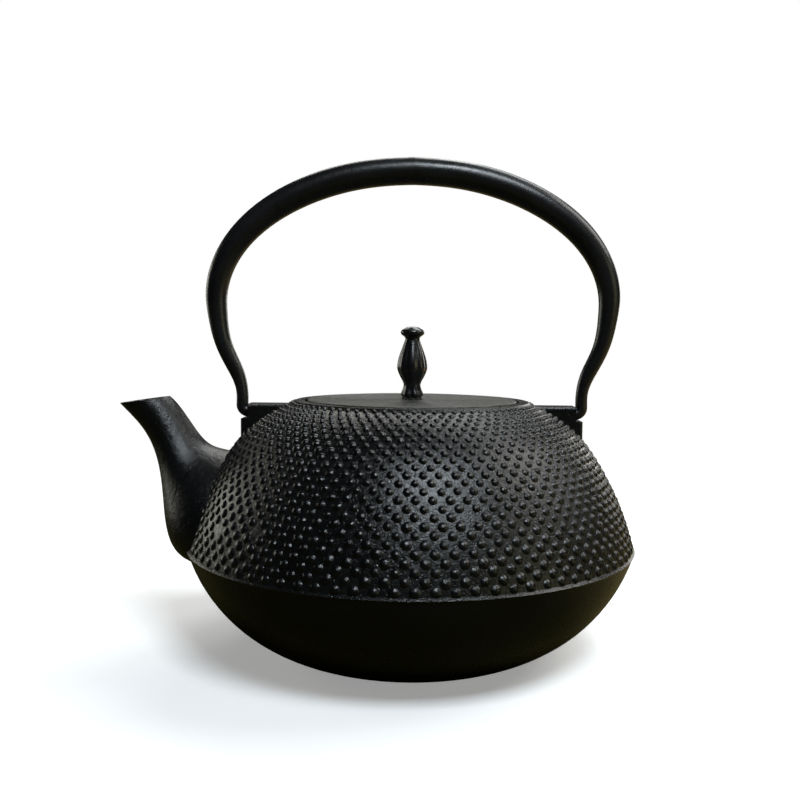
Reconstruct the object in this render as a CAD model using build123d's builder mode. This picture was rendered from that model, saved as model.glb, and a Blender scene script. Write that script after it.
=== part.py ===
"""Cast iron kettle of the Nambu pattern: a wide flanged body, a fan-rooted spout, two handle
lugs, an inset lid with a bud knob, and a tapered bail handle that swings in the lugs.

Millimetres. +Z is up and the spout points to -X. The origin is the centre of the flat base.
The belt's surface is the skin between the hobnails, which stand 0.9 mm proud of it.
"""
import os
from math import asin, atan2, cos, degrees, hypot, radians, sin, sqrt, tan

from build123d import *

# ---- body casting ----
FLANGE_R = 95.0            # the crisp edge where bowl and belt meet
FLANGE_Z = 46.0
LEDGE_H = 1.0              # small ledge under the edge
BOWL_CENTRE = (30.9, 64.9)
BOWL_R = 66.5
BELT_FOOT = (93.85, 46.9)  # the belt rises from here, just inside the edge
BELT_R = 120.6             # long arc up to the shoulder point
SHOULDER = (75.66, 86.38)
SHOULDER_R = 51.1          # tighter arc from the shoulder point to the mouth ring
RIM_OUTER_R = 51.5
RIM_CHAMFER = 1.6
RIM_Z = 106.3
WALL = 3.2

# ---- lid seat and lid ----
WELL_R = 45.95             # rebate that the lid drops into
THROAT_R = 41.5
SEAT_Z = 102.7
LEDGE_T = 3.2              # thickness of the ledge that carries the lid
LID_R = 44.8
LID_TOP_Z = 106.7
LID_EDGE = 0.5
LID_RIM_R = 40.9           # locating rim under the lid
LID_RIM_T = 2.6
LID_RIM_DEPTH = 7.0

# ---- knob with its petalled seat, washer and peened tang ----
SEAT_R = 4.4
SEAT_TOP_Z = 107.6
PETALS = 8
PETAL_R = 1.3
KNOB_FOOT_R = 3.9
KNOB_FOOT_TOP = (4.95, 108.9)
# Points (radius, z) of the lower neck, the pear-shaped belly and the upper neck.
PEAR = [(4.2, 110.7), (3.6, 113.0), (4.9, 116.2), (6.3, 119.2), (6.5, 121.4),
        (5.7, 125.2), (4.5, 128.7), (3.05, 132.9)]
CAP = (5.15, 135.4)        # widest place of the cap
KNOB_TOP_Z = 138.0
DOME_R = 7.7               # slight dome on the cap, from this angle up to the axis
DOME_FROM = 65.0
TANG_R = 2.4               # the tang passes through the lid and is peened over the washer
TANG_HOLE_R = 2.5
WASHER_R = 7.0
WASHER_T = 1.2
WASHER_EDGE = 0.3
PEEN_R = 3.9
PEEN_T = 1.3
PEEN_ROUND = 0.9

# ---- handle ----
PIVOT_Z = 101.0            # height of the axis through both lugs
LEG_X = 73.1               # centre of a leg above its lug
LEG_TOP_Z = 108.6          # the leg starts to lean outwards here
LEG_LEAN = 25.7            # degrees from upright
LEG_FOOT_R = 18.0          # bend that starts the lean
BOW_X = 84.1               # the bow is half an ellipse above this height
BOW_Z = 149.0
BOW_RISE = 54.8
FOOT_D = 5.1               # rod diameters from the foot up to the top
KNEE_D = 5.9
LEAN_D = 6.6
FLANK_D = 7.6
SIDE_D = 9.0
CORNER_D = 10.1
CROWN_D = 11.1
TOP_D = 11.7
HOOK_R = 2.8               # forged bend at the foot, centreline radius
STUB_R = 2.0
STUB_CLEARANCE = 0.05
STUB_LENGTH = 5.0
BORE_DEPTH = 5.4

# ---- lugs ----
LUG_T = 12.0
LUG_TOP_Z = 104.4
LUG_OUTER_X = 73.0
LUG_NOTCH_X = 70.0         # notch that the foot of the handle turns in
LUG_LEDGE_Z = 98.1
LUG_ROOT = (40.0, 80.0)    # the lug starts inside the body and is then trimmed by it
LUG_CORNER = 1.4
LUG_EDGE = 1.0

# ---- spout: sections along its length ----
# low point (x, z), high point (x, z), half width, fan (how far the widest place sits low), wall
SPOUT_SECTIONS = [
    ((-89.8, 36.0), (-64.0, 78.5), 34.0, 0.22, 11.0),
    ((-100.6, 42.4), (-73.0, 82.2), 29.5, 0.20, 8.5),
    ((-104.4, 51.4), (-80.8, 84.0), 24.0, 0.17, 5.0),
    ((-107.4, 70.5), (-89.2, 87.5), 15.2, 0.10, 3.8),
    ((-111.6, 86.0), (-94.7, 94.3), 11.0, 0.04, 3.2),
    ((-118.0, 96.0), (-99.6, 101.5), 9.6, 0.00, 2.8),
    ((-125.6, 104.0), (-104.6, 107.0), 9.2, 0.00, 2.2),
]
OUTLINE_POINTS = 12        # points that the smooth outline of a section passes through
MOUTH_OVERRUN = 3.0        # the channel is cut this far past the mouth


def on_circle(centre, radius, angle):
    """Point of a circle in the section plane, angle in degrees from +X."""
    return (centre[0] + radius * cos(radians(angle)), centre[1] + radius * sin(radians(angle)))


def arc_centre(start, end, radius):
    """Centre of the arc that bulges away from the kettle's axis between two points."""
    dx, dz = end[0] - start[0], end[1] - start[1]
    half = hypot(dx, dz) / 2
    leg = sqrt(radius**2 - half**2) / (2 * half)
    return ((start[0] + end[0]) / 2 - leg * dz, (start[1] + end[1]) / 2 + leg * dx)


def angle_at_x(centre, radius, x):
    """Angle in degrees of the upper point of a circle at this X."""
    across = x - centre[0]
    return degrees(atan2(sqrt(radius**2 - across**2), across))


def angle_at_z(centre, radius, z):
    """Angle in degrees of the outer point of a circle at this Z."""
    return degrees(asin((z - centre[1]) / radius))


# Angles on the arcs of the body's section.
BELT_CENTRE = arc_centre(BELT_FOOT, SHOULDER, BELT_R)
BELT_FROM = angle_at_z(BELT_CENTRE, BELT_R, BELT_FOOT[1])
BELT_TO = angle_at_z(BELT_CENTRE, BELT_R, SHOULDER[1])
SHOULDER_CENTRE = on_circle(SHOULDER, -SHOULDER_R, BELT_TO)
BOWL_TO = angle_at_z(BOWL_CENTRE, BOWL_R, FLANGE_Z - LEDGE_H)
RIM_TO = angle_at_x(SHOULDER_CENTRE, SHOULDER_R, RIM_OUTER_R)
RIM_FOOT_Z = on_circle(SHOULDER_CENTRE, SHOULDER_R, RIM_TO)[1]
CEILING_Z = SEAT_Z - LEDGE_T
CEILING_TO = angle_at_z(SHOULDER_CENTRE, SHOULDER_R - WALL, CEILING_Z)


def body_section(inset, floor_z, shoulder_to, edge=()):
    """Closed half section of the body, shrunk inwards by inset, from floor_z up to the angle
    shoulder_to on the shoulder arc. The points in edge lie between the bowl and the belt."""
    bowl_from = angle_at_z(BOWL_CENTRE, BOWL_R - inset, floor_z)
    bowl = CenterArc(BOWL_CENTRE, BOWL_R - inset, bowl_from, BOWL_TO - bowl_from)
    belt = CenterArc(BELT_CENTRE, BELT_R - inset, BELT_FROM, BELT_TO - BELT_FROM)
    shoulder = CenterArc(SHOULDER_CENTRE, SHOULDER_R - inset, BELT_TO, shoulder_to - BELT_TO)
    top = shoulder @ 1
    Polyline(bowl @ 1, *edge, belt @ 0)
    Polyline(top, (0, top.Y), (0, floor_z), bowl @ 0)


def spout_plane(low, high):
    """Plane of one spout section: X runs from its low point to its high point, Z along the
    spout towards the mouth."""
    run = Vector(high[0] - low[0], 0, high[1] - low[1]).normalized()
    middle = Vector((low[0] + high[0]) / 2, 0, (low[1] + high[1]) / 2)
    return Plane(origin=middle, x_dir=run, z_dir=Vector(-run.Z, 0, run.X))


def spout_face(low, high, half_width, fan, inset):
    """Filled section of the spout, shrunk by inset all round, widest a little below its middle."""
    half_length = hypot(high[0] - low[0], high[1] - low[1]) / 2 - inset
    outline = []
    for index in range(OUTLINE_POINTS):
        turn = radians(360 * index / OUTLINE_POINTS)
        across = (half_width - inset) * sin(turn) * (1 + fan * cos(turn))
        outline.append((-half_length * cos(turn), across))
    with BuildSketch(spout_plane(low, high)) as section:
        with BuildLine():
            Spline(*outline, periodic=True)
        make_face()
    return section.sketch.face()


# ---- body casting ----
with BuildPart() as envelope:
    with BuildSketch(Plane.XZ):
        with BuildLine():
            body_section(0, 0, RIM_TO, edge=[(FLANGE_R, FLANGE_Z)])
        make_face()
    revolve(axis=Axis.Z)
    with BuildSketch(Plane.XZ):
        with BuildLine():
            Polyline((0, RIM_FOOT_Z), (RIM_OUTER_R, RIM_FOOT_Z),
                     (RIM_OUTER_R - RIM_CHAMFER, RIM_Z), (0, RIM_Z), close=True)
        make_face()
    revolve(axis=Axis.Z)

with BuildPart() as spout_channel:
    loft([spout_face(*section[:4], inset=section[4]) for section in SPOUT_SECTIONS])
    extrude(faces().sort_by(SortBy.AREA)[0], amount=MOUTH_OVERRUN)

with BuildPart() as kettle_body:
    add(envelope.part)
    with BuildSketch(Plane.XZ):
        with BuildLine():
            body_section(WALL, WALL, CEILING_TO)
        make_face()
    revolve(axis=Axis.Z, mode=Mode.SUBTRACT)
    with BuildSketch(Plane.XY.offset(CEILING_Z)):
        Circle(THROAT_R)
    extrude(amount=LEDGE_T, mode=Mode.SUBTRACT)
    with BuildSketch(Plane.XY.offset(SEAT_Z)):
        Circle(WELL_R)
    extrude(amount=RIM_Z - SEAT_Z, mode=Mode.SUBTRACT)
    add(spout_channel.part, mode=Mode.SUBTRACT)

# ---- spout ----
with BuildPart() as spout:
    loft([spout_face(*section[:4], inset=0) for section in SPOUT_SECTIONS])
    add(envelope.part, mode=Mode.SUBTRACT)
    add(spout_channel.part, mode=Mode.SUBTRACT)

# ---- handle lugs ----
with BuildPart() as handle_lug_right:
    with BuildSketch(Plane.XZ):
        with BuildLine():
            Polyline(
                (LUG_ROOT[0], LUG_TOP_Z),
                (LUG_NOTCH_X, LUG_TOP_Z),
                (LUG_NOTCH_X, LUG_LEDGE_Z),
                (LUG_OUTER_X, LUG_LEDGE_Z),
                (LUG_OUTER_X, LUG_ROOT[1]),
                LUG_ROOT,
                close=True,
            )
        make_face()
    extrude(amount=LUG_T / 2, both=True)
    outer_corners = edges().filter_by(Axis.Z).filter_by_position(Axis.X, LUG_OUTER_X, LUG_OUTER_X)
    fillet(outer_corners, LUG_CORNER)
    long_edges = edges().filter_by(Axis.X).filter_by_position(Axis.Z, LUG_TOP_Z, LUG_TOP_Z)
    fillet(long_edges, LUG_EDGE)
    with BuildSketch(Plane.YZ.offset(LUG_NOTCH_X)):
        with Locations((0, PIVOT_Z)):
            Circle(STUB_R + STUB_CLEARANCE)
    extrude(amount=-BORE_DEPTH, mode=Mode.SUBTRACT)
    add(envelope.part, mode=Mode.SUBTRACT)

with BuildPart() as handle_lug_left:
    add(mirror(handle_lug_right.part, about=Plane.YZ))

# ---- lid ----
with BuildPart() as lid:
    with BuildSketch(Plane.XY.offset(SEAT_Z)):
        Circle(LID_R)
    extrude(amount=LID_TOP_Z - SEAT_Z)
    chamfer(edges().group_by(Axis.Z)[-1], LID_EDGE)
    with BuildSketch(Plane.XY.offset(SEAT_Z)):
        Circle(LID_RIM_R)
        Circle(LID_RIM_R - LID_RIM_T, mode=Mode.SUBTRACT)
    extrude(amount=-LID_RIM_DEPTH)
    with BuildSketch(Plane.XY.offset(SEAT_Z)):
        Circle(TANG_HOLE_R)
    extrude(amount=LID_TOP_Z - SEAT_Z, mode=Mode.SUBTRACT)

with BuildPart() as knob_seat:
    with BuildSketch(Plane.XY.offset(LID_TOP_Z)):
        Circle(SEAT_R - PETAL_R)
        with PolarLocations(SEAT_R - PETAL_R, PETALS):
            Circle(PETAL_R)
        Circle(TANG_HOLE_R, mode=Mode.SUBTRACT)
    extrude(amount=SEAT_TOP_Z - LID_TOP_Z)

# ---- knob: foot, lower neck, belly, upper neck and cap, with its tang and peened head ----
WASHER_Z = SEAT_Z - WASHER_T

with BuildPart() as lid_knob:
    with BuildSketch(Plane.XZ):
        with BuildLine():
            foot = Polyline((0, WASHER_Z), (TANG_R, WASHER_Z), (TANG_R, SEAT_TOP_Z),
                            (KNOB_FOOT_R, SEAT_TOP_Z), KNOB_FOOT_TOP)
            belly = Spline(foot @ 1, *PEAR)
            dome = CenterArc((0, KNOB_TOP_Z - DOME_R), DOME_R, DOME_FROM, 90 - DOME_FROM)
            ThreePointArc(belly @ 1, CAP, dome @ 0)
            Line((0, KNOB_TOP_Z), (0, WASHER_Z))
        make_face()
    revolve(axis=Axis.Z)
    with BuildSketch(Plane.XY.offset(WASHER_Z)):
        Circle(PEEN_R)
    extrude(amount=-PEEN_T)
    fillet(edges().group_by(Axis.Z)[0], PEEN_ROUND)

with BuildPart() as knob_washer:
    with BuildSketch(Plane.XY.offset(WASHER_Z)):
        Circle(WASHER_R)
        Circle(TANG_HOLE_R, mode=Mode.SUBTRACT)
    extrude(amount=WASHER_T)
    lower_edges = edges().filter_by(GeomType.CIRCLE).group_by(Axis.Z)[0]
    chamfer(lower_edges.sort_by(SortBy.LENGTH)[-1], WASHER_EDGE)

# ---- bail handle: forged hooks, leaning legs and an elliptical bow, tapered from top to foot ----
knee_centre = (LEG_X + LEG_FOOT_R, LEG_TOP_Z)
knee_end = on_circle(knee_centre, LEG_FOOT_R, 180 - LEG_LEAN)
# The lean ends in a bend that stands upright where the bow begins. The leaning line and the
# upright meet at corner_z, and the bend's radius follows from that corner.
corner_z = knee_end[1] + (BOW_X - knee_end[0]) / tan(radians(LEG_LEAN))
side_r = (BOW_Z - corner_z) / tan(radians(LEG_LEAN / 2))
side_centre = (BOW_X - side_r, BOW_Z)
side_start = on_circle(side_centre, side_r, -LEG_LEAN)

with BuildLine(Plane.XZ) as bow_line:
    leg_foot = Line((LEG_X, PIVOT_Z + HOOK_R), (LEG_X, LEG_TOP_Z))
    leg_knee = CenterArc(knee_centre, LEG_FOOT_R, 180, -LEG_LEAN)
    Line(leg_knee @ 1, side_start)
    leg_side = CenterArc(side_centre, side_r, -LEG_LEAN, LEG_LEAN)
    bow = EllipticalCenterArc((0, BOW_Z), BOW_X, BOW_RISE, start_angle=0, arc_size=90)


def rod_section(stretch, place, diameter):
    """Round section of the rod at a place along one stretch of its centreline."""
    with BuildSketch(Plane(origin=stretch @ place, z_dir=stretch % place)) as section:
        Circle(diameter / 2)
    return section.sketch.face()


ROD_SECTIONS = [
    rod_section(leg_foot, 0.0, FOOT_D),
    rod_section(leg_foot, 1.0, FOOT_D),
    rod_section(leg_knee, 1.0, KNEE_D),
    rod_section(leg_side, 0.0, LEAN_D),
    rod_section(leg_side, 0.5, FLANK_D),
    rod_section(bow, 0.0, SIDE_D),
    rod_section(bow, 0.15, CORNER_D),
    rod_section(bow, 0.35, CROWN_D),
    rod_section(bow, 0.6, TOP_D),
    rod_section(bow, 0.8, TOP_D),
    rod_section(bow, 1.0, TOP_D),
]

with BuildPart() as handle:
    loft(ROD_SECTIONS)
    with BuildSketch(Plane.XY.offset(PIVOT_Z + HOOK_R)):
        with Locations((LEG_X, 0)):
            Circle(FOOT_D / 2)
    hook_axis = Axis((LEG_X - HOOK_R, 0, PIVOT_Z + HOOK_R), (0, 1, 0))
    revolve(axis=hook_axis, revolution_arc=90)
    with BuildSketch(Plane.YZ.offset(LEG_X - HOOK_R)):
        with Locations((0, PIVOT_Z)):
            Circle(STUB_R)
    extrude(amount=-STUB_LENGTH)
    mirror(about=Plane.YZ)

# ---- write one file for each piece ----
os.makedirs("parts", exist_ok=True)
PIECES = {
    "kettle_body": kettle_body,
    "spout": spout,
    "handle_lug_left": handle_lug_left,
    "handle_lug_right": handle_lug_right,
    "lid": lid,
    "knob_seat": knob_seat,
    "lid_knob": lid_knob,
    "knob_washer": knob_washer,
    "handle": handle,
}
for label, piece in PIECES.items():
    piece.part.label = label
    export_step(piece.part, f"parts/{label}.step")
    print(label, "solids", len(piece.part.solids()), "volume", round(piece.part.volume), "mm3")
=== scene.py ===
"""Looks of the cast iron kettle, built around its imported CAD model.

Metres, in the CAD's frame: +Z is up, the spout points to -X, and the origin is the centre of the
flat base. The kettle's own solids stay in view and take detailed finishes. New pieces are the
hobnails on the belt, a dished lid and a fluted bud knob.
"""

import logging
import math
import random
from dataclasses import dataclass
from enum import Enum

import bmesh
import bpy
from mathutils import Matrix, Vector
from mathutils.bvhtree import BVHTree


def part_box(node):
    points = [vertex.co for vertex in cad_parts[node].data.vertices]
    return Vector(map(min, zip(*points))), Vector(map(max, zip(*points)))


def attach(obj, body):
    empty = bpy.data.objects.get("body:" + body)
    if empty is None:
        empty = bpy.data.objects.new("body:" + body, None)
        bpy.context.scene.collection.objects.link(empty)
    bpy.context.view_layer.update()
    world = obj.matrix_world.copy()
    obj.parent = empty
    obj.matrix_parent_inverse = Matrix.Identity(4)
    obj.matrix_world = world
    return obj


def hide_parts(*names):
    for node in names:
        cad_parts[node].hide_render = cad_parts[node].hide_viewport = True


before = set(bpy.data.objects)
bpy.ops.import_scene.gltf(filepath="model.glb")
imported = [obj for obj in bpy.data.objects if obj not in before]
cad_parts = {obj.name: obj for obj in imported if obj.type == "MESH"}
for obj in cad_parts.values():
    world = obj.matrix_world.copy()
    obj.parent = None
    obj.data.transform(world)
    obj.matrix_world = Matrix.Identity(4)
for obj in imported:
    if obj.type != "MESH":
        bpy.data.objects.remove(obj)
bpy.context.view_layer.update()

MM = 0.001
WHITE = (1.0, 1.0, 1.0, 1.0)
LOG = logging.getLogger("kettle")

# The cast skin: cells per metre of each noise, and the share of each in the result.
PATCH_CELLS, GRAIN_CELLS, LUMP_CELLS, PIT_CELLS = 28.0, 1700.0, 420.0, 620.0
PATCH_TONE, SPECKLE_TONE = 0.65, 0.35
PATCH_ROUGHNESS, LUMP_ROUGHNESS = 0.55, 0.45
GRAIN_HEIGHT, LUMP_HEIGHT, PIT_DEPTH = 0.45, 0.55, 0.35
CALM_EDGE = 0.5 * MM  # half the height over which the calm skin ends
CALM_RELIEF = 0.35  # what is left of the relief where the skin is calm

# The turned rings and the polish from handling.
STROKE_CELLS = 1500.0
STROKE_SPAN = 0.0012  # how far a brush stroke wanders round the lid, in metres
RING_TONE = 0.5  # how much of the worn colour the rings bring up
BROAD_WEAR_CELLS, FINE_WEAR_CELLS = 45.0, 700.0
BROAD_WEAR, FINE_WEAR = 0.75, 0.25
WEAR_POLISH = 0.12  # how much smoother a fully worn place is


class Body(Enum):
    """The bodies of the kettle that the new pieces ride on."""

    KETTLE = "kettle"
    LID = "lid"


class Slot(Enum):
    """The names of the record's material slots for the new pieces, which this script does not use.
    """

    BODY = "body_iron"
    LID = "lid_iron"
    KNOB = "knob_iron"


# ---------------------------------------------------------------- node helpers


def link(
    tree: bpy.types.NodeTree, source: bpy.types.NodeSocket, target: bpy.types.NodeSocket
) -> None:
    """Joins two sockets."""
    tree.links.new(source, target)


def math_node(
    tree: bpy.types.NodeTree,
    operation: str,
    first: bpy.types.NodeSocket | float,
    second: bpy.types.NodeSocket | float = 0.0,
) -> bpy.types.NodeSocket:
    """Adds a Math node.

    Args:
        tree: the node tree that takes the node.
        operation: the name of the operation.
        first: a socket or a number for the first input.
        second: a socket or a number for the second input.

    Returns:
        The node's value socket.
    """
    node = tree.nodes.new("ShaderNodeMath")
    node.operation = operation
    for index, value in enumerate((first, second)):
        if isinstance(value, (int, float)):
            node.inputs[index].default_value = value
        else:
            link(tree, value, node.inputs[index])
    return node.outputs[0]


def noise_node(
    tree: bpy.types.NodeTree,
    vector: bpy.types.NodeSocket,
    scale: float,
    detail: float,
    roughness: float = 0.55,
) -> bpy.types.NodeSocket:
    """Adds a noise texture.

    Args:
        tree: the node tree that takes the node.
        vector: the coordinates that it reads.
        scale: cells per metre.
        detail: the number of octaves.
        roughness: how strong the finer octaves are.

    Returns:
        The noise's value socket, about 0.3 to 0.7.
    """
    node = tree.nodes.new("ShaderNodeTexNoise")
    node.inputs["Scale"].default_value = scale
    node.inputs["Detail"].default_value = detail
    node.inputs["Roughness"].default_value = roughness
    link(tree, vector, node.inputs["Vector"])
    return node.outputs[0]


def spread_node(
    tree: bpy.types.NodeTree,
    value: bpy.types.NodeSocket,
    low: float,
    high: float,
    to_low: float = 0.0,
    to_high: float = 1.0,
) -> bpy.types.NodeSocket:
    """Maps a value from one range to another and holds it there.

    Args:
        tree: the node tree that takes the node.
        value: the value to map.
        low: the value that becomes to_low.
        high: the value that becomes to_high.
        to_low: the result at and below low.
        to_high: the result at and above high.

    Returns:
        The mapped value's socket.
    """
    node = tree.nodes.new("ShaderNodeMapRange")
    node.clamp = True
    link(tree, value, node.inputs["Value"])
    for name, number in (
        ("From Min", low),
        ("From Max", high),
        ("To Min", to_low),
        ("To Max", to_high),
    ):
        node.inputs[name].default_value = number
    return node.outputs["Result"]


def mix_colours(
    tree: bpy.types.NodeTree,
    mask: bpy.types.NodeSocket,
    first: bpy.types.NodeSocket,
    second: bpy.types.NodeSocket,
) -> bpy.types.NodeSocket:
    """Mixes two colours by a mask and gives the result's socket."""
    node = tree.nodes.new("ShaderNodeMix")
    node.data_type = "RGBA"
    link(tree, mask, node.inputs[0])
    link(tree, first, node.inputs[6])
    link(tree, second, node.inputs[7])
    return node.outputs[2]


def new_group(name: str, inputs: dict[str, object], outputs: dict[str, str]) -> bpy.types.NodeTree:
    """Makes an empty shader node group with its sockets.

    Args:
        name: the group's name.
        inputs: the name of each input and its default, a number, a colour, or None for a vector.
        outputs: the name of each output and its socket type.

    Returns:
        The group, with its input and output nodes in place.
    """
    group = bpy.data.node_groups.new(name, "ShaderNodeTree")
    for label, default in inputs.items():
        kind = "NodeSocketFloat"
        if default is None:
            kind = "NodeSocketVector"
        elif isinstance(default, tuple):
            kind = "NodeSocketColor"
        socket = group.interface.new_socket(label, in_out="INPUT", socket_type=kind)
        if default is not None:
            socket.default_value = default
    for label, kind in outputs.items():
        group.interface.new_socket(label, in_out="OUTPUT", socket_type=kind)
    group.nodes.new("NodeGroupInput")
    group.nodes.new("NodeGroupOutput")
    return group


def group_ends(group: bpy.types.NodeTree) -> tuple[bpy.types.Node, bpy.types.Node]:
    """Gives a group's input node and output node."""
    return group.nodes["Group Input"], group.nodes["Group Output"]


# ---------------------------------------------------------------- shared effects


def build_cast_skin() -> bpy.types.NodeTree:
    """Builds the sand-cast skin: fine grain, shallow pits and broad patches of tone.

    Returns:
        The node group, with Color, Roughness and Height outputs.
    """
    group = new_group(
        "cast_skin",
        {
            "Place": None,
            "Dark": (0.01, 0.01, 0.01, 1.0),
            "Light": (0.03, 0.03, 0.03, 1.0),
            "Smooth": 0.35,
            "Rough": 0.55,
            "Grain": 1.0,
            "Pits": 1.0,
        },
        {"Color": "NodeSocketColor", "Roughness": "NodeSocketFloat", "Height": "NodeSocketFloat"},
    )
    source, result = group_ends(group)
    place = source.outputs["Place"]
    patches = spread_node(group, noise_node(group, place, PATCH_CELLS, 3.0), 0.36, 0.66)
    grain = noise_node(group, place, GRAIN_CELLS, 2.0, 0.6)
    lumps = noise_node(group, place, LUMP_CELLS, 2.0)
    pit_field = noise_node(group, place, PIT_CELLS, 1.0)
    pits = spread_node(group, pit_field, 0.60, 0.74)
    speckle = spread_node(group, grain, 0.42, 0.66)
    tone = math_node(
        group,
        "ADD",
        math_node(group, "MULTIPLY", patches, PATCH_TONE),
        math_node(group, "MULTIPLY", speckle, SPECKLE_TONE),
    )
    colour = mix_colours(group, tone, source.outputs["Dark"], source.outputs["Light"])
    link(group, colour, result.inputs["Color"])
    span = math_node(group, "SUBTRACT", source.outputs["Rough"], source.outputs["Smooth"])
    wander = math_node(
        group,
        "ADD",
        math_node(group, "MULTIPLY", patches, PATCH_ROUGHNESS),
        math_node(group, "MULTIPLY", spread_node(group, lumps, 0.35, 0.65), LUMP_ROUGHNESS),
    )
    roughness = math_node(
        group, "ADD", source.outputs["Smooth"], math_node(group, "MULTIPLY", span, wander)
    )
    link(group, roughness, result.inputs["Roughness"])
    bumps = math_node(
        group,
        "ADD",
        math_node(group, "MULTIPLY", grain, GRAIN_HEIGHT),
        math_node(group, "MULTIPLY", lumps, LUMP_HEIGHT),
    )
    raised = math_node(group, "MULTIPLY", bumps, source.outputs["Grain"])
    shallow = math_node(group, "MULTIPLY", pits, PIT_DEPTH)
    sunk = math_node(group, "MULTIPLY", shallow, source.outputs["Pits"])
    link(group, math_node(group, "SUBTRACT", raised, sunk), result.inputs["Height"])
    return group


def build_turned_rings() -> bpy.types.NodeTree:
    """Builds the fine brushed arcs that follow a turn about the kettle's axis.

    Returns:
        The node group, with Mask and Height outputs.
    """
    group = new_group(
        "turned_rings",
        {"Place": None, "Depth": 1.0},
        {"Mask": "NodeSocketFloat", "Height": "NodeSocketFloat"},
    )
    source, result = group_ends(group)
    parts = group.nodes.new("ShaderNodeSeparateXYZ")
    link(group, source.outputs["Place"], parts.inputs[0])
    x, y = parts.outputs[0], parts.outputs[1]
    radius = math_node(
        group,
        "SQRT",
        math_node(
            group, "ADD", math_node(group, "MULTIPLY", x, x), math_node(group, "MULTIPLY", y, y)
        ),
    )
    turn = math_node(group, "ARCTAN2", y, x)
    polar = group.nodes.new("ShaderNodeCombineXYZ")
    link(group, radius, polar.inputs[0])
    for index, wave in ((1, "SINE"), (2, "COSINE")):
        swing = math_node(group, "MULTIPLY", math_node(group, wave, turn), STROKE_SPAN)
        link(group, swing, polar.inputs[index])
    strokes = noise_node(group, polar.outputs[0], STROKE_CELLS, 3.0, 0.7)
    mask = spread_node(group, strokes, 0.35, 0.68)
    link(group, mask, result.inputs["Mask"])
    height = math_node(group, "MULTIPLY", strokes, source.outputs["Depth"])
    link(group, height, result.inputs["Height"])
    return group


def build_handled_wear() -> bpy.types.NodeTree:
    """Builds the slight polish that hands and cloths leave, as a mask of long soft patches.

    Returns:
        The node group, with a Mask output.
    """
    group = new_group("handled_wear", {"Place": None, "Amount": 0.5}, {"Mask": "NodeSocketFloat"})
    source, result = group_ends(group)
    place = source.outputs["Place"]
    broad = noise_node(group, place, BROAD_WEAR_CELLS, 2.0)
    fine = noise_node(group, place, FINE_WEAR_CELLS, 2.0)
    mixed = math_node(
        group,
        "ADD",
        math_node(group, "MULTIPLY", broad, BROAD_WEAR),
        math_node(group, "MULTIPLY", fine, FINE_WEAR),
    )
    mask = spread_node(group, mixed, 0.44, 0.62)
    share = math_node(group, "MULTIPLY", mask, source.outputs["Amount"])
    link(group, share, result.inputs["Mask"])
    return group


class EffectShelf:
    """Keeps the shared node groups, each built once."""

    def __init__(self) -> None:
        """Builds every shared effect."""
        self.cast_skin = build_cast_skin()
        self.turned_rings = build_turned_rings()
        self.handled_wear = build_handled_wear()

    @staticmethod
    def use(
        tree: bpy.types.NodeTree,
        group: bpy.types.NodeTree,
        place: bpy.types.NodeSocket,
        values: dict[str, object],
    ) -> bpy.types.Node:
        """Places a shared effect in a material.

        Args:
            tree: the material's node tree.
            group: the effect.
            place: the coordinates that the effect reads.
            values: the number or colour of each input.

        Returns:
            The group node.
        """
        node = tree.nodes.new("ShaderNodeGroup")
        node.node_tree = group
        link(tree, place, node.inputs["Place"])
        for name, value in values.items():
            node.inputs[name].default_value = value
        return node


# ---------------------------------------------------------------- finishes

Colour = tuple[float, float, float]


def opaque(colour: Colour) -> tuple[float, float, float, float]:
    """Gives a colour with full alpha."""
    return (*colour, 1.0)


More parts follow.
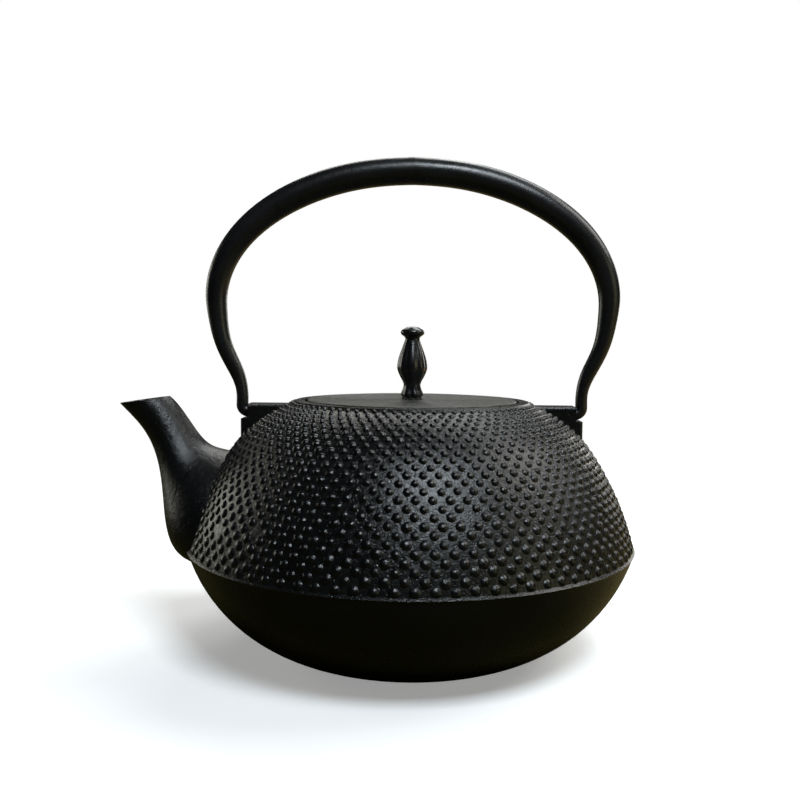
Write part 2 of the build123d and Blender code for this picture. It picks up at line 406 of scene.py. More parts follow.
@dataclass(frozen=True)
class IronFinish:
    """One finish of cast or forged iron.

    Attributes:
        name: the material's name.
        dark: colour of the deeper tone.
        light: colour of the lighter tone.
        smooth: lowest roughness.
        rough: highest roughness.
        grain: strength of the cast grain.
        pits: strength of the small pits.
        relief: height of the bump in metres.
        specular: specular level of the seasoned surface.
        rings: depth of turned rings, or 0 for none.
        wear: amount of polish from handling.
        worn: colour of the polished places.
        calm_below: height under which the skin is cast smoother, or 0 for nowhere.
    """

    name: str
    dark: Colour
    light: Colour
    smooth: float
    rough: float
    grain: float
    pits: float
    relief: float
    specular: float = 0.35
    rings: float = 0.0
    wear: float = 0.0
    worn: Colour = (0.05, 0.05, 0.05)
    calm_below: float = 0.0

    def build(self, shelf: EffectShelf) -> bpy.types.Material:
        """Builds the material.

        Args:
            shelf: the shared effects.

        Returns:
            The finished material.
        """
        material = bpy.data.materials.new(self.name)
        material.use_nodes = True
        tree = material.node_tree
        shader = tree.nodes["Principled BSDF"]
        place = tree.nodes.new("ShaderNodeTexCoord").outputs["Object"]
        skin = shelf.use(
            tree,
            shelf.cast_skin,
            place,
            {
                "Dark": opaque(self.dark),
                "Light": opaque(self.light),
                "Smooth": self.smooth,
                "Rough": self.rough,
                "Grain": self.grain,
                "Pits": self.pits,
            },
        )
        colour = skin.outputs["Color"]
        height = skin.outputs["Height"]
        roughness = skin.outputs["Roughness"]
        if self.calm_below:
            parts = tree.nodes.new("ShaderNodeSeparateXYZ")
            link(tree, place, parts.inputs[0])
            edge = (self.calm_below - CALM_EDGE, self.calm_below + CALM_EDGE)
            calm = spread_node(tree, parts.outputs[2], *edge, CALM_RELIEF, 1.0)
            height = math_node(tree, "MULTIPLY", height, calm)
        if self.rings:
            rings = shelf.use(tree, shelf.turned_rings, place, {"Depth": self.rings})
            height = math_node(tree, "ADD", height, rings.outputs["Height"])
            share = math_node(tree, "MULTIPLY", rings.outputs["Mask"], RING_TONE)
            colour = self.lighten(tree, share, colour)
        if self.wear:
            wear = shelf.use(tree, shelf.handled_wear, place, {"Amount": self.wear})
            colour = self.lighten(tree, wear.outputs["Mask"], colour)
            polish = math_node(tree, "MULTIPLY", wear.outputs["Mask"], WEAR_POLISH)
            roughness = math_node(tree, "SUBTRACT", roughness, polish)
        link(tree, colour, shader.inputs["Base Color"])
        link(tree, roughness, shader.inputs["Roughness"])
        bump = tree.nodes.new("ShaderNodeBump")
        bump.inputs["Strength"].default_value = 1.0
        bump.inputs["Distance"].default_value = self.relief
        link(tree, height, bump.inputs["Height"])
        link(tree, bump.outputs["Normal"], shader.inputs["Normal"])
        shader.inputs["Metallic"].default_value = 0.0
        shader.inputs["Specular IOR Level"].default_value = self.specular
        return material

    def lighten(
        self, tree: bpy.types.NodeTree, mask: bpy.types.NodeSocket, colour: bpy.types.NodeSocket
    ) -> bpy.types.NodeSocket:
        """Mixes the worn colour over a colour by a mask and gives the result's socket."""
        worn = tree.nodes.new("ShaderNodeRGB")
        worn.outputs[0].default_value = opaque(self.worn)
        return mix_colours(tree, mask, colour, worn.outputs[0])


BODY_IRON = IronFinish(
    name="seasoned_body_iron",
    dark=(0.0020, 0.0021, 0.0023),
    light=(0.0060, 0.0061, 0.0062),
    smooth=0.20,
    rough=0.34,
    grain=1.3,
    pits=0.9,
    relief=0.00030,
    specular=0.46,
    calm_below=46.0 * MM,
)
SPOUT_IRON = IronFinish(
    name="grainy_spout_iron",
    dark=(0.0020, 0.0021, 0.0023),
    light=(0.0060, 0.0061, 0.0062),
    smooth=0.26,
    rough=0.30,
    grain=1.5,
    pits=0.6,
    relief=0.00026,
    specular=0.38,
)
# The domes are cast in one with the body's skin, but take a darker copy of its colours. This is
# painted shade, so that the domes read darker than the skin between them.
HOBNAIL_IRON_PAINTED_SHADE = IronFinish(
    name="hobnail_iron_painted_shade",
    dark=(0.0016, 0.0017, 0.0019),
    light=(0.0045, 0.0046, 0.0048),
    smooth=0.20,
    rough=0.32,
    grain=1.2,
    pits=0.6,
    relief=0.00024,
    specular=0.42,
)
LID_IRON = IronFinish(
    name="brushed_lid_iron",
    dark=(0.015, 0.015, 0.012),
    light=(0.036, 0.036, 0.030),
    smooth=0.38,
    rough=0.56,
    grain=0.8,
    pits=0.6,
    relief=0.00026,
    specular=0.42,
    rings=2.2,
    worn=(0.055, 0.055, 0.045),
)
KNOB_IRON = IronFinish(
    name="glossy_knob_iron",
    dark=(0.0022, 0.0022, 0.0028),
    light=(0.0060, 0.0060, 0.0070),
    smooth=0.22,
    rough=0.30,
    grain=0.4,
    pits=0.1,
    relief=0.00008,
    specular=0.60,
)
HANDLE_IRON = IronFinish(
    name="forged_handle_iron",
    dark=(0.0026, 0.0026, 0.0030),
    light=(0.0065, 0.0066, 0.0070),
    smooth=0.29,
    rough=0.38,
    grain=0.55,
    pits=0.2,
    relief=0.00014,
    specular=0.45,
    wear=0.5,
    worn=(0.016, 0.016, 0.017),
)


@dataclass(frozen=True)
class FloorFinish:
    """The studio floor: pale to the eye, fading into the backdrop, and dim as a reflection.

    Attributes:
        name: the material's name.
        pale: the colour that is seen.
        glow: the light that the seen floor gives off by itself.
        dim: the colour that the iron reflects in front, so that it stays black.
        warm: the colour that the iron reflects behind and to the right.
        fade_from: distance from the middle where the floor starts to fade.
        fade_to: distance where it has become the backdrop.
        lean: the share of X and of Y in the direction in which dim turns into warm.
        turn_from: distance that way where it starts to turn.
        turn_to: distance where it has turned.
    """

    name: str
    pale: Colour
    glow: float
    dim: Colour
    warm: Colour
    fade_from: float
    fade_to: float
    lean: tuple[float, float] = (0.75, 0.65)
    turn_from: float = 0.03
    turn_to: float = 0.35

    def build(self) -> bpy.types.Material:
        """Builds the material."""
        material = bpy.data.materials.new(self.name)
        material.use_nodes = True
        tree = material.node_tree
        tree.nodes.clear()
        output = tree.nodes.new("ShaderNodeOutputMaterial")
        place = tree.nodes.new("ShaderNodeTexCoord").outputs["Object"]
        near = tree.nodes.new("ShaderNodeBsdfDiffuse")
        near.inputs["Color"].default_value = opaque(self.pale)
        far = tree.nodes.new("ShaderNodeEmission")
        far.inputs["Strength"].default_value = 1.0
        lift = tree.nodes.new("ShaderNodeEmission")
        lift.inputs["Strength"].default_value = self.glow
        lit = tree.nodes.new("ShaderNodeAddShader")
        link(tree, near.outputs[0], lit.inputs[0])
        link(tree, lift.outputs[0], lit.inputs[1])
        parts = tree.nodes.new("ShaderNodeSeparateXYZ")
        link(tree, place, parts.inputs[0])
        rightward = math_node(tree, "MULTIPLY", parts.outputs[0], self.lean[0])
        backward = math_node(tree, "MULTIPLY", parts.outputs[1], self.lean[1])
        along = math_node(tree, "ADD", rightward, backward)
        away = spread_node(tree, along, self.turn_from, self.turn_to)
        tones = [tree.nodes.new("ShaderNodeRGB") for _ in range(2)]
        for tone, colour in zip(tones, (self.dim, self.warm)):
            tone.outputs[0].default_value = opaque(colour)
        dim = tree.nodes.new("ShaderNodeBsdfDiffuse")
        tone = mix_colours(tree, away, tones[0].outputs[0], tones[1].outputs[0])
        link(tree, tone, dim.inputs["Color"])
        reach = tree.nodes.new("ShaderNodeVectorMath")
        reach.operation = "LENGTH"
        link(tree, place, reach.inputs[0])
        fade = spread_node(tree, reach.outputs["Value"], self.fade_from, self.fade_to)
        seen = tree.nodes.new("ShaderNodeMixShader")
        link(tree, fade, seen.inputs[0])
        link(tree, lit.outputs[0], seen.inputs[1])
        link(tree, far.outputs[0], seen.inputs[2])
        choice = tree.nodes.new("ShaderNodeMixShader")
        ray = tree.nodes.new("ShaderNodeLightPath")
        link(tree, ray.outputs["Is Camera Ray"], choice.inputs[0])
        link(tree, dim.outputs[0], choice.inputs[1])
        link(tree, seen.outputs[0], choice.inputs[2])
        link(tree, choice.outputs[0], output.inputs["Surface"])
        return material


STUDIO_FLOOR = FloorFinish(
    name="pale_floor",
    pale=(0.9, 0.9, 0.9),
    glow=0.3,
    dim=(0.05, 0.043, 0.014),
    warm=(0.36, 0.28, 0.12),
    fade_from=0.25,
    fade_to=0.7,
)


# ---------------------------------------------------------------- mesh helpers


def finish_mesh(bm: bmesh.types.BMesh, name: str, smooth: bool = True) -> bpy.types.Object:
    """Turns a bmesh into an object at the origin.

    Args:
        bm: the finished bmesh, which is freed.
        name: the piece's name.
        smooth: whether its faces are shaded smooth.

    Returns:
        The new object.
    """
    for face in bm.faces:
        face.smooth = smooth
    mesh = bpy.data.meshes.new(name)
    bm.to_mesh(mesh)
    bm.free()
    piece = bpy.data.objects.new(name, mesh)
    bpy.context.scene.collection.objects.link(piece)
    return piece


def dress(piece: bpy.types.Object, material: bpy.types.Material) -> None:
    """Gives a new piece its one material."""
    piece.data.materials.clear()
    piece.data.materials.append(material)


def dress_node(node: str, material: bpy.types.Material) -> None:
    """Gives every material slot of a CAD node one material."""
    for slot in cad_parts[node].material_slots:
        slot.material = material


def sharpen(piece: bpy.types.Object, angle: float) -> None:
    """Keeps the edges of a smooth piece crisp where its faces turn by more than an angle."""
    limit = math.radians(angle)
    bm = bmesh.new()
    bm.from_mesh(piece.data)
    for edge in bm.edges:
        if len(edge.link_faces) == 2:
            edge.smooth = edge.calc_face_angle() < limit
    bm.to_mesh(piece.data)
    bm.free()


def spin_profile(points: list[tuple[float, float]], steps: int) -> bmesh.types.BMesh:
    """Turns a profile all the way round the Z axis.

    Args:
        points: the profile's points as radius and height, in metres.
        steps: the number of steps round.

    Returns:
        A closed bmesh with its faces pointing outwards.
    """
    bm = bmesh.new()
    verts = [bm.verts.new((radius, 0.0, height)) for radius, height in points]
    edges = [bm.edges.new(pair) for pair in zip(verts, verts[1:])]
    bmesh.ops.spin(
        bm,
        geom=verts + edges,
        axis=(0.0, 0.0, 1.0),
        cent=(0.0, 0.0, 0.0),
        steps=steps,
        angle=math.tau,
        use_merge=True,
    )
    bmesh.ops.remove_doubles(bm, verts=bm.verts, dist=1e-6)
    bmesh.ops.recalc_face_normals(bm, faces=bm.faces)
    return bm


def rounded(
    start: tuple[float, float], corner: tuple[float, float], end: tuple[float, float], steps: int
) -> list[tuple[float, float]]:
    """Gives points along a smooth bend that leaves start towards corner and arrives at end."""
    points = []
    for index in range(steps + 1):
        t = index / steps
        weights = ((1 - t) ** 2, 2 * t * (1 - t), t**2)
        points.append(
            tuple(
                sum(weight * point[axis] for weight, point in zip(weights, (start, corner, end)))
                for axis in (0, 1)
            )
        )
    return points


def node_surface(node: str) -> BVHTree:
    """Gives a search tree over a CAD node's faces."""
    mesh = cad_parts[node].data
    mesh.calc_loop_triangles()
    corners = [vertex.co.copy() for vertex in mesh.vertices]
    triangles = [tuple(triangle.vertices) for triangle in mesh.loop_triangles]
    return BVHTree.FromPolygons(corners, triangles)


# ---------------------------------------------------------------- hobnail belt


@dataclass
class HobnailBelt:
    """The rows of small cast domes between the mouth ring and the flange.

    Attributes:
        per_row: domes in each row, the same all the way up.
        row_step: distance between rows on the belt's axis, before the share of the radius.
        row_spread: what the distance between rows gains with the row's radius.
        dome_radius: radius of a dome as a share of the row's radius.
        dome_height: how far a dome stands out of the skin.
        dome_power: how pointed a dome is, from 1 for an ellipse to 2 for a parabola.
        dome_rings: rings of faces from a dome's foot to its top.
        dome_steps: faces round a dome.
        sink: how far a dome's base is below the skin.
        flange_gap: distance from the flange's edge to the middle of the lowest row.
        ring_radius: radius where the dotted skin ends, on the mouth ring's soft edge.
        ring_gap: distance from there to the middle of the top row.
        size_wander: how much one dome's size differs from the next.
        place_wander: how far a dome is from its place in the row.
        lean_wander: how far a dome leans from straight out, as a slope.
        missing: share of the domes that the mould has lost.
        seed: seed of the wander.
        heart: the point that the rays for the profile aim at, as shares of the body's box.
        ray_from: angle of the lowest ray, in degrees.
        ray_step: angle from one ray to the next, in degrees.
        ray_count: the number of rays.
        ray_start: how far from the heart a ray starts.
        lift: how far above the skin the search for a neighbour starts.
        search: how far out from the skin that search goes.
        shelter: how near a neighbour may be, as a share of the dome's radius.
        crease: angle in degrees past which an edge of a dome stays crisp.
    """

    per_row: int = 85
    row_step: float = 2.42 * MM
    row_spread: float = 0.0088
    dome_radius: float = 0.0232
    dome_height: float = 0.88 * MM
    dome_power: float = 1.9
    dome_rings: int = 4
    dome_steps: int = 12
    sink: float = 0.20 * MM
    flange_gap: float = 2.9 * MM
    ring_radius: float = 50.9 * MM
    ring_gap: float = 0.5 * MM
    size_wander: float = 0.11
    place_wander: float = 0.17 * MM
    lean_wander: float = 0.07
    missing: float = 0.003
    seed: int = 11
    heart: tuple[float, float] = (0.40, 0.52)
    ray_from: float = -14.0
    ray_step: float = 0.1
    ray_count: int = 900
    ray_start: float = 0.2
    lift: float = 0.05 * MM
    search: float = 0.05
    shelter: float = 0.55
    crease: float = 60.0

    def profile(self) -> list[tuple[Vector, Vector]]:
        """Finds the belt's skin from the flange up to the ring on the plain back of the body.

        Returns:
            Points and outward directions in the plane of radius and height, in even small steps.
        """
        surface = node_surface("kettle_body")
        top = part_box("kettle_body")[1]
        heart = Vector((0.0, self.heart[0] * top[1], self.heart[1] * top[2]))
        points = []
        for index in range(self.ray_count):
            lean = math.radians(self.ray_from + self.ray_step * index)
            way = Vector((0.0, math.cos(lean), math.sin(lean)))
            hit, normal, _, _ = surface.ray_cast(heart + way * self.ray_start, -way)
            if hit is None:
                continue
            if normal.dot(way) < 0:
                normal = -normal
            points.append((Vector((hit.y, hit.z)), Vector((normal.y, normal.z)).normalized()))
        widest = max(range(len(points)), key=lambda index: points[index][0].x)
        beyond = range(widest + 1, len(points))
        ring = next(index for index in beyond if points[index][0].x < self.ring_radius)
        return points[widest:ring]

    def rows(self) -> list[tuple[Vector, Vector]]:
        """Steps along the profile and gives the point and outward direction of each row."""
        profile = self.profile()
        gone = [0.0]
        for before, after in zip(profile, profile[1:]):
            gone.append(gone[-1] + (after[0] - before[0]).length)
        room = gone[-1] - self.ring_gap
        marks = [self.flange_gap]
        while True:
            radius = profile[self.nearest(gone, marks[-1])][0].x
            step = self.row_step + self.row_spread * radius
            if marks[-1] + 0.5 * step > room:
                break
            marks.append(marks[-1] + step)
        stretch = (room - marks[0]) / (marks[-1] - marks[0])
        places = [marks[0] + stretch * (mark - marks[0]) for mark in marks]
        LOG.info("%d rows of hobnails, stretched by %.3f", len(places), stretch)
        return [profile[self.nearest(gone, place)] for place in places]

    @staticmethod
    def nearest(lengths: list[float], wanted: float) -> int:
        """Gives the place in a list of the length nearest to the wanted one."""
        return min(range(len(lengths)), key=lambda index: abs(lengths[index] - wanted))

    def dome(self) -> bpy.types.Mesh:
        """Makes one dome of unit radius and height on a flat base."""
        points = []
        for index in range(self.dome_rings + 1):
            slope = 0.5 * math.pi * index / self.dome_rings
            points.append((math.sin(slope), math.cos(slope) ** self.dome_power))
        points[-1] = (1.0, 0.0)
        points[0] = (0.0, 1.0)
        bm = spin_profile(points + [(0.0, 0.0)], self.dome_steps)
        mesh = bpy.data.meshes.new("hobnail_dome")
        bm.to_mesh(mesh)
        bm.free()
        return mesh

    def clear(self, place: Vector, way: Vector, neighbours: list[BVHTree], radius: float) -> bool:
        """Tells whether a dome stands on open skin, not under the spout or a lug.

        Args:
            place: the dome's place on the skin.
            way: the outward direction there.
            neighbours: the surfaces of the spout and the lugs.
            radius: the dome's radius.

        Returns:
            True if the dome can stand there.
        """
        for surface in neighbours:
            if surface.ray_cast(place + way * self.lift, way, self.search)[0] is not None:
                return False
            if surface.find_nearest(place, self.shelter * radius)[0] is not None:
                return False
        return True

    def build(self, material: bpy.types.Material) -> list[bpy.types.Object]:
        """Builds the domes as an upper and a lower piece.

        Args:
            material: the finish of the domes.

        Returns:
            The two pieces.
        """
        draw = random.Random(self.seed)
        joined = ("spout", "handle_lug_left", "handle_lug_right")
        neighbours = [node_surface(name) for name in joined]
        dome = self.dome()
        count = len(dome.vertices)
        rows = self.rows()
        pieces = []
        middle = len(rows) // 2
        for label, share in (("hobnails_lower", rows[:middle]), ("hobnails_upper", rows[middle:])):
            whole = bmesh.new()
            for row in share:
                odd = rows.index(row) % 2
                self.add_row(whole, dome, count, row, odd, neighbours, draw)
            piece = finish_mesh(whole, label)
            sharpen(piece, self.crease)
            dress(piece, material)
            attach(piece, Body.KETTLE.value)
            pieces.append(piece)
        bpy.data.meshes.remove(dome)
        return pieces

    def add_row(
        self,
        whole: bmesh.types.BMesh,
        dome: bpy.types.Mesh,
        count: int,
        row: tuple[Vector, Vector],
        odd: int,
        neighbours: list[BVHTree],
        draw: random.Random,
    ) -> None:
        """Adds one row of domes.

        Args:
            whole: the bmesh that takes them.
            dome: one dome of unit size.
            count: the number of its vertices.
            row: the row's point and outward direction.
            odd: 1 where the row is shifted by half a step, or 0.
            neighbours: the surfaces of the spout and the lugs.
            draw: the source of the wander.
        """
        point, outward = row
        ring = bmesh.new()
        for index in range(self.per_row):
            wander = [draw.uniform(-1.0, 1.0) for _ in range(4)]
            lost = draw.random() < self.missing
            radius = self.dome_radius * point.x * (1.0 + self.size_wander * wander[0])
            turn = math.tau * (index + 0.5 * odd) / self.per_row
            turn += self.place_wander * wander[1] / point.x
            slide = self.place_wander * wander[2]
            reach = point.x - slide * outward.y
            rise = point.y + slide * outward.x
            place = Vector((reach * math.cos(turn), reach * math.sin(turn), rise))
            way = Vector((outward.x * math.cos(turn), outward.x * math.sin(turn), outward.y))
            if lost or not self.clear(place, way, neighbours, radius):
                continue
            shrink = 0.5 * self.size_wander * (1.0 - wander[3])
            height = (self.dome_height + self.sink) * (1.0 - shrink)
            lean = Vector([draw.uniform(-1.0, 1.0) for _ in range(3)])
            way = (way + self.lean_wander * lean).normalized()
            ring.from_mesh(dome)
            ring.verts.ensure_lookup_table()
            matrix = (
                Matrix.Translation(place - way * self.sink)
                @ way.to_track_quat("Z", "Y").to_matrix().to_4x4()
                @ Matrix.Diagonal((radius, radius, height, 1.0))
            )
            bmesh.ops.transform(ring, matrix=matrix, verts=ring.verts[-count:])
        mesh = bpy.data.meshes.new("hobnail_row")
        ring.to_mesh(mesh)
        ring.free()
        whole.from_mesh(mesh)
        bpy.data.meshes.remove(mesh)


# ---------------------------------------------------------------- lid


@dataclass
class DishedLid:
    """The flat lid with a slightly dished top, a soft edge and a locating rim underneath.

    Attributes:
        dish: how far the top sinks between its edge and the knob's seat.
        edge: size of the soft outer edge.
        hub_radius: radius of the flat that the knob's seat stands on.
        hole_radius: radius of the hole for the knob's tang.
        plate: thickness of the plate.
        rim_radius: outer radius of the locating rim.
        rim_wall: thickness of the locating rim.
        rim_edge: size of the rim's soft edges.
        under_edge: size of the plate's soft lower edge.
        lip: width of the raised band along the plate's edge.
        lip_bend: how far inwards that band bends down.
        hub_bend: width of the bend from the hub's flat to the dish.
        hub_flat: how far past the hub's flat that bend starts.
        dish_share: radii between which the dish is flat, as shares of the lid's radius.
        crease: angle in degrees past which an edge stays crisp.
        steps: steps round the axis.
    """

    dish: float = 0.50 * MM
    edge: float = 0.5 * MM
    hub_radius: float = 6.4 * MM
    hole_radius: float = 2.5 * MM
    plate: float = 4.0 * MM
    rim_radius: float = 40.9 * MM
    rim_wall: float = 2.6 * MM
    rim_edge: float = 0.5 * MM
    under_edge: float = 0.3 * MM
    lip: float = 2.6 * MM
    lip_bend: float = 2.0 * MM
    hub_bend: float = 6.0 * MM
    hub_flat: float = 1.0 * MM
    dish_share: tuple[float, float] = (0.55, 0.75)
    crease: float = 32.0
    steps: int = 160

    def build(self, material: bpy.types.Material) -> bpy.types.Object:
        """Builds the lid and gives it its finish.

        Args:
            material: the lid's finish.

        Returns:
            The lid.
        """
        low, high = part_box("lid")
        radius, top, foot = high[0], high[2], low[2]
        under = top - self.plate
        inner = self.rim_radius - self.rim_wall
        lip = radius - self.lip
        sunk = top - self.dish
        points = [(self.hole_radius, under), (self.hole_radius, top), (self.hub_radius, top)]
        points += rounded(
            (self.hub_radius + self.hub_flat, top),
            (self.hub_radius + self.hub_bend, sunk),
            (self.dish_share[0] * radius, sunk),
            8,
        )
        points += rounded(
            (self.dish_share[1] * radius, sunk), (lip - self.lip_bend, sunk), (lip, top), 8
        )
        points += rounded((radius - self.edge, top), (radius, top), (radius, top - self.edge), 5)
        points += rounded(
            (radius, under + self.under_edge), (radius, under), (radius - self.under_edge, under), 3
        )
        points += [(self.rim_radius, under)]
        points += rounded(
            (self.rim_radius, foot + self.rim_edge),
            (self.rim_radius, foot),
            (self.rim_radius - self.rim_edge, foot),
            3,
        )
        points += rounded(
            (inner + self.rim_edge, foot), (inner, foot), (inner, foot + self.rim_edge), 3
        )
        points += [(inner, under), (self.hole_radius, under)]
        lid = finish_mesh(spin_profile(points, self.steps), "dished_lid")
        sharpen(lid, self.crease)
        dress(lid, material)
        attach(lid, Body.LID.value)
        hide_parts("lid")
        return lid


# ---------------------------------------------------------------- knob


@dataclass
class BudKnob:
    """The bud-shaped knob: a fluted foot, a fluted belly between two necks, and a round cap.

    Attributes:
        foot_lobes: ribs round the foot.
        belly_lobes: ribs round the belly.
        foot_cut: depth of the hollows between the foot's ribs, as a share of the radius.
        belly_cut: depth of the hollows between the belly's ribs, as a share of the radius.
        belly_span: depths under the cap where the belly's ribs start and end, in millimetres.
        belly_fade: lengths over which they come up and fade, in millimetres.
        foot_from: depth under the cap where the foot's ribs start, in millimetres.
        foot_fade: length over which they come up, in millimetres.
        foot_turn: how far the foot's ribs are turned, in radians of their wave.
        foot_radius: radius of the foot where it meets its seat.
        tang_radius: radius of the tang that goes through the lid.
        peen_radius: radius of the peened head under the washer.
        peen_round: width of the round edge of the peened head.
        peen_edge: size of the small step where the head meets the washer.
        crease: angle in degrees past which an edge stays crisp.
        steps: steps round the axis.
    """

    foot_lobes: int = 6
    belly_lobes: int = 8
    foot_cut: float = 0.16
    belly_cut: float = 0.085
    belly_span: tuple[float, float] = (6.0, 24.6)
    belly_fade: tuple[float, float] = (4.0, 3.0)
    foot_from: float = 25.2
    foot_fade: float = 1.6
    foot_turn: float = 0.3
    foot_radius: float = 3.9 * MM
    tang_radius: float = 2.4 * MM
    peen_radius: float = 3.9 * MM
    peen_round: float = 1.4 * MM
    peen_edge: float = 0.1 * MM
    crease: float = 45.0
    steps: int = 96

    def outline(self, top: float) -> list[tuple[float, float]]:
        """Gives the knob's outline from its foot to the top of the cap.

        Args:
            top: height of the top of the cap.

        Returns:
            Points as radius and height.
        """
        marks = [
            (3.95, 30.3), (4.75, 29.5), (4.95, 29.1), (4.75, 28.4), (4.3, 27.4), (3.75, 25.8),
            (3.6, 24.8), (4.1, 23.4),
            (5.1, 21.6), (5.95, 19.8), (6.45, 18.2), (6.5, 16.6), (6.2, 14.6), (5.75, 12.8),
            (5.1, 10.9), (4.5, 9.3), (3.85, 7.5), (3.3, 6.0), (3.1, 5.1), (3.35, 4.5),
            (4.1, 3.9), (4.85, 3.35), (5.15, 2.6), (5.0, 1.9), (4.4, 1.3), (3.3, 0.75),
            (2.9, 0.42), (1.9, 0.15), (0.9, 0.02),
        ]
        return [(radius * MM, top - depth * MM) for radius, depth in marks]

    def lobe(self, height: float, top: float, turn: float) -> float:
        """Gives how much the radius shrinks at a height and a turn round the axis.

        Args:
            height: the height of the point.
            top: the height of the top of the cap.
            turn: the angle round the axis.

        Returns:
            A factor for the radius, 1 on a rib.
        """
        depth = (top - height) / MM
        start, end = self.belly_span
        rise, fall = self.belly_fade
        belly = max(0.0, min(1.0, (depth - start) / rise, (end - depth) / fall))
        foot = max(0.0, min(1.0, (depth - self.foot_from) / self.foot_fade))
        belly_wave = 1.0 - abs(math.cos(0.5 * self.belly_lobes * turn))
        foot_wave = 1.0 - abs(math.cos(0.5 * self.foot_lobes * turn + self.foot_turn))
        return 1.0 - self.belly_cut * belly * belly_wave - self.foot_cut * foot * foot_wave

    def build(self, material: bpy.types.Material) -> bpy.types.Object:
        """Builds the knob with its tang and peened head, and gives it its finish.

        Args:
            material: the knob's finish.

        Returns:
            The knob.
        """
        low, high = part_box("lid_knob")
        seat_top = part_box("knob_seat")[1][2]
        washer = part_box("knob_washer")[0][2]
        top, bottom = high[2], low[2]
        points = [(0.0, bottom)]
        points += rounded(
            (self.peen_radius - self.peen_round, bottom),
            (self.peen_radius, bottom),
            (self.peen_radius, washer - self.peen_edge),
            5,
        )
        points += [
            (self.peen_radius - self.peen_edge, washer),
            (self.tang_radius, washer),
            (self.tang_radius, seat_top),
            (self.foot_radius, seat_top),
        ]
        points += self.outline(top) + [(0.0, top)]
        bm = spin_profile(points, self.steps)
        for vertex in bm.verts:
            if vertex.co.z > seat_top + 0.01 * MM:
                turn = math.atan2(vertex.co.y, vertex.co.x)
                factor = self.lobe(vertex.co.z, top, turn)
                vertex.co.x *= factor
                vertex.co.y *= factor
        knob = finish_mesh(bm, "bud_knob")
        sharpen(knob, self.crease)
        dress(knob, material)
        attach(knob, Body.LID.value)
        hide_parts("lid_knob")
        return knob


# ---------------------------------------------------------------- studio


@dataclass
class SoftLight:
    """One soft rectangular light.

    Attributes:
        name: the light's name.
        place: where it hangs.
        aim: the point that it faces.
        size: its width and height.
        power: its power in watts.
        colour: its colour.
    """

    name: str
    place: tuple[float, float, float]
    aim: tuple[float, float, float]
    size: tuple[float, float]
    power: float
    colour: Colour = (1.0, 1.0, 1.0)

    def build(self) -> None:
        """Hangs the light."""
        lamp = bpy.data.lights.new(self.name, "AREA")
        lamp.shape = "RECTANGLE"
        lamp.size, lamp.size_y = self.size
        lamp.energy = self.power
        lamp.color = self.colour
        holder = bpy.data.objects.new(self.name, lamp)
        holder.location = self.place
        way = Vector(self.aim) - Vector(self.place)
        holder.rotation_euler = way.to_track_quat("-Z", "Y").to_euler()
        holder.visible_camera = False
        bpy.context.scene.collection.objects.link(holder)


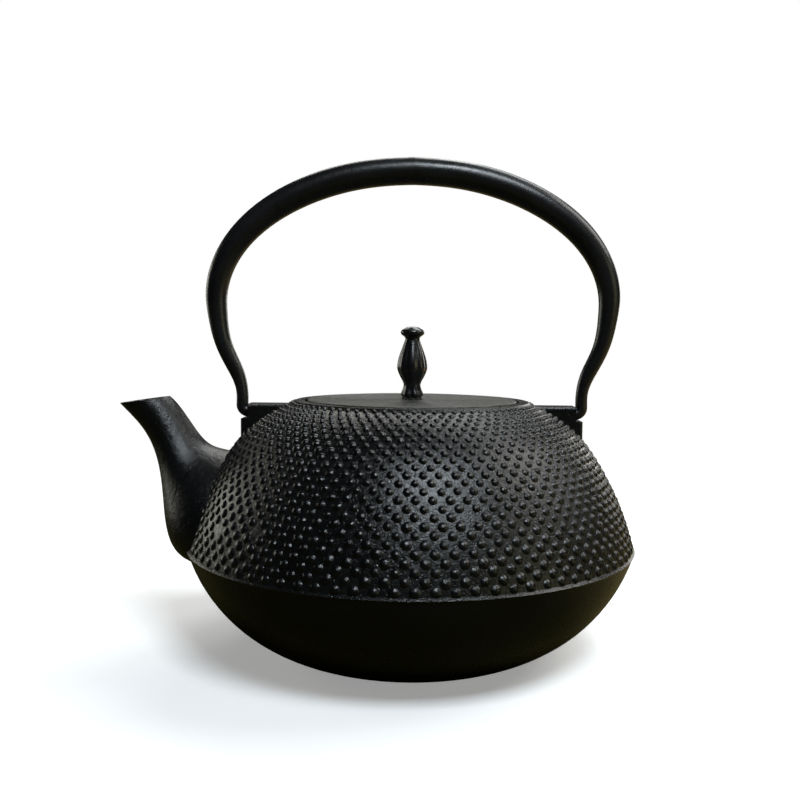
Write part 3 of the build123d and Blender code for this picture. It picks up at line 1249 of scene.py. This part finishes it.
@dataclass
class Studio:
    """The floor, the backdrop light, the lamps and the camera.

    Attributes:
        eye: the camera's place.
        tilt: how far the camera looks down, in radians.
        roll: how far the camera is turned about its own axis, in radians.
        lens: focal length in millimetres.
        shift: sideways shift of the picture.
        sensor: width of the camera's sensor in millimetres.
        sky: brightness of the surrounding light.
        sky_colour: colour of the surrounding light.
        floor_half: half the width of the floor.
    """

    eye: tuple[float, float, float] = (0.0, -0.388, 0.1331)
    tilt: float = 0.0686
    roll: float = 0.0103
    lens: float = 40.56
    shift: float = -0.0149
    sensor: float = 36.0
    sky: float = 0.012
    sky_colour: Colour = (0.92, 0.96, 1.0)
    floor_half: float = 6.0

    def build_camera(self) -> None:
        """Sets up the camera and makes it the scene's camera."""
        camera = bpy.data.cameras.new("studio_camera")
        camera.lens = self.lens
        camera.sensor_width = self.sensor
        camera.shift_x = self.shift
        camera.clip_start = 0.01
        camera.clip_end = 50.0
        holder = bpy.data.objects.new("studio_camera", camera)
        upright = Matrix.Rotation(math.pi / 2 - self.tilt, 4, "X")
        holder.matrix_world = (
            Matrix.Translation(self.eye) @ upright @ Matrix.Rotation(self.roll, 4, "Z")
        )
        bpy.context.scene.collection.objects.link(holder)
        bpy.context.scene.camera = holder

    def build_floor(self) -> None:
        """Lays a wide, flat, pale floor, which fades into the backdrop."""
        bm = bmesh.new()
        bmesh.ops.create_grid(bm, x_segments=1, y_segments=1, size=1.0)
        widen = Matrix.Diagonal((self.floor_half, self.floor_half, 1.0, 1.0))
        bmesh.ops.transform(bm, matrix=widen, verts=bm.verts)
        floor = finish_mesh(bm, "studio_floor", smooth=False)
        dress(floor, STUDIO_FLOOR.build())

    def build_sky(self) -> None:
        """Shows a white backdrop, and lights the iron with a much dimmer sky."""
        world = bpy.data.worlds.new("studio_sky")
        bpy.context.scene.world = world
        world.use_nodes = True
        tree = world.node_tree
        tree.nodes.clear()
        output = tree.nodes.new("ShaderNodeOutputWorld")
        seen = tree.nodes.new("ShaderNodeBackground")
        seen.inputs["Color"].default_value = WHITE
        seen.inputs["Strength"].default_value = 1.0
        around = tree.nodes.new("ShaderNodeBackground")
        around.inputs["Color"].default_value = opaque(self.sky_colour)
        around.inputs["Strength"].default_value = self.sky
        ray = tree.nodes.new("ShaderNodeLightPath")
        mix = tree.nodes.new("ShaderNodeMixShader")
        link(tree, ray.outputs["Is Camera Ray"], mix.inputs[0])
        link(tree, around.outputs[0], mix.inputs[1])
        link(tree, seen.outputs[0], mix.inputs[2])
        link(tree, mix.outputs[0], output.inputs["Surface"])

    def build(self) -> None:
        """Builds the whole studio."""
        self.build_camera()
        self.build_floor()
        self.build_sky()
        heart = (0.0, 0.0, 0.08)
        for light in (
            SoftLight("window", (0.24, -0.74, 1.07), heart, (0.46, 0.38), 12.5, (0.84, 0.93, 1.0)),
            SoftLight("right_panel", (0.93, 0.08, 0.92), heart, (0.6, 0.6), 6.5, (1.0, 1.0, 0.95)),
            SoftLight("back_right", (0.35, 0.61, 1.12), heart, (0.6, 0.5), 4.8, (0.96, 0.99, 1.0)),
            SoftLight("back_panel", (-0.1, 0.93, 0.92), heart, (0.6, 0.5), 3.2, (1.0, 1.0, 0.94)),
            SoftLight("low_right", (1.07, -0.62, 0.30), heart, (0.6, 0.5), 1.1, (1.0, 0.95, 0.6)),
            SoftLight("low_left", (-1.07, 0.62, 0.30), heart, (0.6, 0.5), 2.8, (1.0, 0.99, 0.88)),
            SoftLight("low_back", (0.62, 1.07, 0.30), heart, (0.6, 0.5), 2.3, (1.0, 0.97, 0.9)),
        ):
            light.build()
        bpy.context.scene.view_settings.view_transform = "Standard"


# ---------------------------------------------------------------- the whole kettle


def main() -> None:
    """Builds the finishes, dresses the CAD nodes and adds the detailed pieces."""
    logging.basicConfig(level=logging.INFO, format="%(name)s: %(message)s")
    shelf = EffectShelf()
    body = BODY_IRON.build(shelf)
    dress_node("kettle_body", body)
    LOG.info("kettle_body dressed in %s", body.name)
    grainy = SPOUT_IRON.build(shelf)
    for node in ("spout", "handle_lug_left", "handle_lug_right"):
        dress_node(node, grainy)
        LOG.info("%s dressed in %s", node, grainy.name)
    handle = HANDLE_IRON.build(shelf)
    dress_node("handle", handle)
    LOG.info("handle dressed in %s", handle.name)
    lid = LID_IRON.build(shelf)
    for node in ("knob_seat", "knob_washer"):
        dress_node(node, lid)
        LOG.info("%s dressed in %s", node, lid.name)
    for piece in HobnailBelt().build(HOBNAIL_IRON_PAINTED_SHADE.build(shelf)):
        LOG.info("%s: %d faces", piece.name, len(piece.data.polygons))
    for piece in (DishedLid().build(lid), BudKnob().build(KNOB_IRON.build(shelf))):
        LOG.info("%s: %d faces", piece.name, len(piece.data.polygons))
    Studio().build()


if __name__ == "__main__":
    main()
